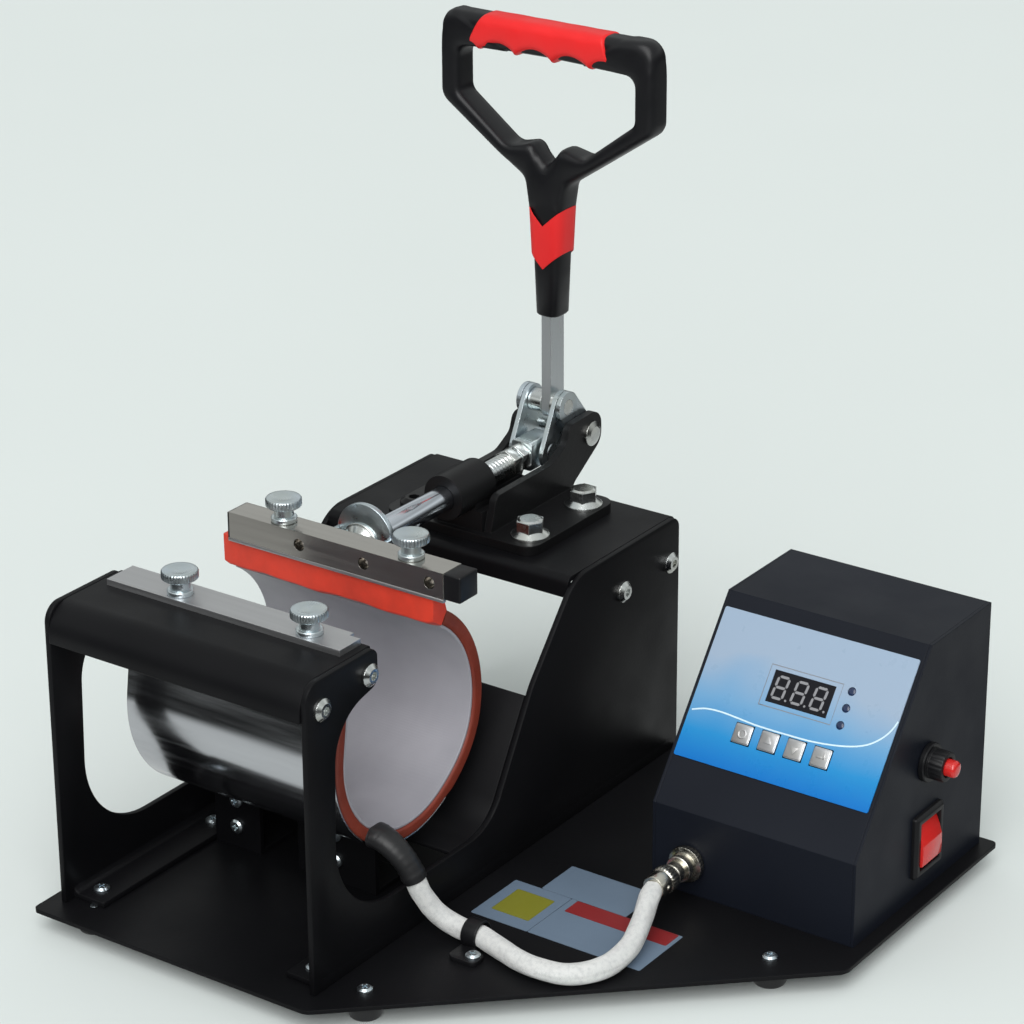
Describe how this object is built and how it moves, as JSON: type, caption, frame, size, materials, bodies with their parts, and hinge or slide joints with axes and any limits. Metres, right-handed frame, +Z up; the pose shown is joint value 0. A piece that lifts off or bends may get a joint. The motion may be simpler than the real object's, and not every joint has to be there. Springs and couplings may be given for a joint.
{
  "type": "mug heat press",
  "caption": "Bench press whose curved silicone heater is closed round a mug by a hand toggle, with a sloping control box on one base sheet.",
  "frame": {"origin": "centre of the footprint, on the surface the rubber feet stand on", "axes": "+X along the mug, towards the control box; +Y from the operator to the rear; +Z up"},
  "size_m": [0.3486, 0.325, 0.38],
  "materials": {
    "black_steel": "fine satin black powder coat",
    "zinc": "bright zinc plate",
    "cast_black": "satin black paint on a casting",
    "clamp_grey": "satin aluminium",
    "polished_steel": "polished stainless sheet",
    "silicone_red": "matt brick-red silicone",
    "liner_grey": "pale grey coated glass cloth",
    "foot_rubber": "matt black rubber",
    "boot_black": "black heat-shrink sleeve",
    "sleeve_white": "white woven glass sleeve",
    "nickel": "nickel plate",
    "box_paint": "satin black powder coat",
    "panel_blue": "printed blue film, light at the top",
    "display_black": "smoked window with seven-segment digits",
    "led_dark": "unlit dark lamp",
    "key_silver": "silver embossed key",
    "plastic_black": "moulded black plastic",
    "plastic_red": "glossy red plastic",
    "grip_black": "moulded black grip",
    "grip_red": "soft red over-moulded grip",
    "board_green": "solder mask",
    "transformer_core": "varnished laminations",
    "label_film": "printed label film"
  },
  "bodies": {
    "frame": {"base_plate": "black_steel", "rubber_feet": "foot_rubber", "base_screws": "zinc", "left_side_plate": "black_steel", "right_side_plate": "black_steel", "flange_screws": "zinc", "front_cover": "black_steel", "frame_bolts": "zinc", "clamp_strip": "clamp_grey", "rear_shelf": "black_steel", "cradle_panel": "black_steel", "heater_sheath": "polished_steel", "heater_pad": "silicone_red", "heater_liner": "liner_grey", "heater_tail": "silicone_red", "heater_brackets": "black_steel", "bracket_screws": "zinc", "cable_boot": "boot_black", "heater_cable": "sleeve_white", "p_clip": "plastic_black", "cable_plug": "nickel", "panel_socket": "nickel", "box_wrap": "box_paint", "box_sides": "box_paint", "overlay_panel": "panel_blue", "display_window": "display_black", "led_lenses": "led_dark", "breaker_body": "plastic_black", "rocker_frame": "plastic_black", "mains_inlet": "plastic_black", "circuit_board": "board_green", "transformer": "transformer_core", "info_labels": "label_film", "clamp_base": "cast_black", "clamp_bolts": "zinc", "clamp_screws": "cast_black", "pivot_pin": "zinc"},
    "lever": {"lever_plates": "zinc", "lever_bar": "zinc", "lever_pin": "zinc", "handle_body": "grip_black", "grip_sleeve": "grip_red", "handle_band": "grip_red"},
    "link": {"link_plates": "zinc"},
    "slider": {"push_rod": "zinc", "jam_nuts": "zinc", "jaw_bracket": "zinc", "jaw_bolt": "zinc", "jaw_bar": "clamp_grey", "jaw_strip": "silicone_red"},
    "thumb_screw_1": {"thumb_screw_front_left": "zinc"},
    "thumb_screw_2": {"thumb_screw_front_right": "zinc"},
    "thumb_screw_3": {"thumb_screw_rear_left": "zinc"},
    "thumb_screw_4": {"thumb_screw_rear_right": "zinc"},
    "key_1": {"key_set": "key_silver"},
    "key_2": {"key_up": "key_silver"},
    "key_3": {"key_down": "key_silver"},
    "key_4": {"key_enter": "key_silver"},
    "reset": {"reset_button": "plastic_red"},
    "switch": {"rocker": "plastic_red"}
  },
  "joints": [
    {"name": "lever_swing", "type": "hinge", "parent": "frame", "child": "lever", "pos_m": [-0.09225, 0.1535, 0.1675], "axis": [1, 0, 0], "range_deg": [0, 56.3]},
    {"name": "link_swing", "type": "hinge", "parent": "lever", "child": "link", "pos_m": [-0.09225, 0.1395, 0.185], "axis": [1, 0, 0], "range_deg": [-116.5, 0]},
    {"name": "jaw_slide", "type": "slide", "parent": "frame", "child": "slider", "axis": [0, -1, 0], "range_m": [0, 0.022], "deforming": ["heater_tail"]},
    {"name": "thumb_screw_1_turn", "type": "hinge", "parent": "frame", "child": "thumb_screw_1", "pos_m": [-0.12025, -0.1105, 0.167], "axis": [0, 0, 1], "continuous": true},
    {"name": "thumb_screw_2_turn", "type": "hinge", "parent": "frame", "child": "thumb_screw_2", "pos_m": [-0.04625, -0.1105, 0.167], "axis": [0, 0, 1], "continuous": true},
    {"name": "thumb_screw_3_turn", "type": "hinge", "parent": "slider", "child": "thumb_screw_3", "pos_m": [-0.12025, -0.0355, 0.176], "axis": [0, 0, 1], "continuous": true},
    {"name": "thumb_screw_4_turn", "type": "hinge", "parent": "slider", "child": "thumb_screw_4", "pos_m": [-0.04625, -0.0355, 0.176], "axis": [0, 0, 1], "continuous": true},
    {"name": "key_1_press", "type": "slide", "parent": "frame", "child": "key_1", "axis": [0, 0.7972, -0.6038], "range_m": [0, 0.0008], "stiffness_N_per_m": 400},
    {"name": "key_2_press", "type": "slide", "parent": "frame", "child": "key_2", "axis": [0, 0.7972, -0.6038], "range_m": [0, 0.0008], "stiffness_N_per_m": 400},
    {"name": "key_3_press", "type": "slide", "parent": "frame", "child": "key_3", "axis": [0, 0.7972, -0.6038], "range_m": [0, 0.0008], "stiffness_N_per_m": 400},
    {"name": "key_4_press", "type": "slide", "parent": "frame", "child": "key_4", "axis": [0, 0.7972, -0.6038], "range_m": [0, 0.0008], "stiffness_N_per_m": 400},
    {"name": "reset_press", "type": "slide", "parent": "frame", "child": "reset", "axis": [-1, 0, 0], "range_m": [0, 0.0025], "stiffness_N_per_m": 600},
    {"name": "switch_rock", "type": "hinge", "parent": "frame", "child": "switch", "pos_m": [0.15725, 0.0865, 0.039], "axis": [0, 1, 0], "range_deg": [0, 20]}
  ],
  "couplings": [
    {"joint": "jaw_slide", "follows": "lever_swing", "m_per_rad": 0.022331},
    {"joint": "link_swing", "follows": "lever_swing", "ratio": -2.0669}
  ]
}
